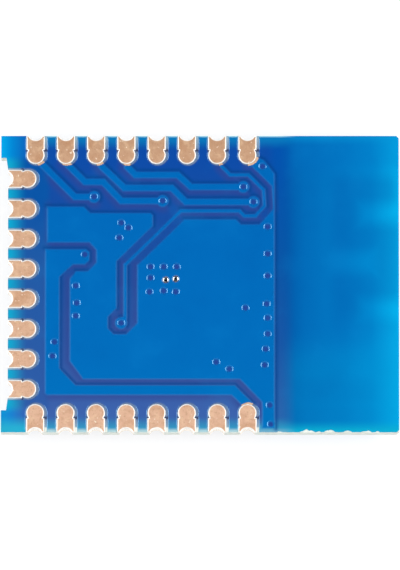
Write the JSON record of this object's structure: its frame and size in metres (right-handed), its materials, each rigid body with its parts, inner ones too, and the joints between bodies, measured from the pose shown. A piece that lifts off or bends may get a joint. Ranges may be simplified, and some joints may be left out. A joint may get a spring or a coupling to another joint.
{
  "type": "bluetooth module",
  "caption": "Flat blue Bluetooth radio board with castellated edge pads on three sides, covered tracks and vias on the pad side, and chip, crystal and printed antenna behind.",
  "frame": {"origin": "middle of the board's outline, at the level of the chip's top face, which the part rests on", "axes": "+X along the board towards its antenna end, +Y across the board, +Z out of the pad side"},
  "size_m": [0.0198, 0.0148, 0.002],
  "materials": {
    "laminate": "woven glass and resin, milled at the edges",
    "copper_foil": "etched foil, under the solder mask",
    "plated_barrels": "plated copper",
    "pad_copper": "matt plated copper with a fine grain and bright edges",
    "solder_mask": "blue solder mask, slightly glossy",
    "chip_mould": "black mould compound",
    "tinned_metal": "matt tin",
    "crystal_ceramic": "dark ceramic",
    "crystal_lid": "satin nickel",
    "gold_plate": "thin gold",
    "capacitor_ceramic": "tan ceramic",
    "inductor_ceramic": "grey-blue ceramic",
    "resistor_ceramic": "white alumina",
    "resistor_coat": "black overcoat",
    "solder": "reflowed solder"
  },
  "bodies": {
    "root": {"fr4_core": "laminate", "ground_pour": "copper_foil", "signal_tracks": "copper_foil", "fine_track": "copper_foil", "supply_track": "copper_foil", "component_ground": "copper_foil", "component_tracks": "copper_foil", "component_lands": "copper_foil", "antenna_trace": "copper_foil", "ground_vias": "plated_barrels", "signal_vias": "plated_barrels", "pad_side_mask": "solder_mask", "component_mask": "solder_mask", "chip_package": "chip_mould", "chip_terminals": "tinned_metal", "chip_exposed_pad": "tinned_metal", "crystal_case": "crystal_ceramic", "crystal_lid": "crystal_lid", "crystal_terminals": "gold_plate", "capacitor_bodies": "capacitor_ceramic", "capacitor_caps": "tinned_metal", "inductor_bodies": "inductor_ceramic", "inductor_caps": "tinned_metal", "resistor_body": "resistor_ceramic", "resistor_coat": "resistor_coat", "resistor_caps": "tinned_metal", "solder_joints": "solder", "edge_pad_01": "pad_copper", "edge_pad_02": "pad_copper", "edge_pad_03": "pad_copper", "edge_pad_04": "pad_copper", "edge_pad_05": "pad_copper", "edge_pad_06": "pad_copper", "edge_pad_07": "pad_copper", "edge_pad_08": "pad_copper", "edge_pad_09": "pad_copper", "edge_pad_10": "pad_copper", "edge_pad_11": "pad_copper", "edge_pad_12": "pad_copper", "edge_pad_13": "pad_copper", "edge_pad_14": "pad_copper", "edge_pad_15": "pad_copper", "edge_pad_16": "pad_copper", "edge_pad_17": "pad_copper", "edge_pad_18": "pad_copper", "edge_pad_19": "pad_copper", "edge_pad_20": "pad_copper", "edge_pad_21": "pad_copper", "edge_pad_22": "pad_copper", "edge_pad_23": "pad_copper", "edge_pad_24": "pad_copper"}
  },
  "joints": []
}
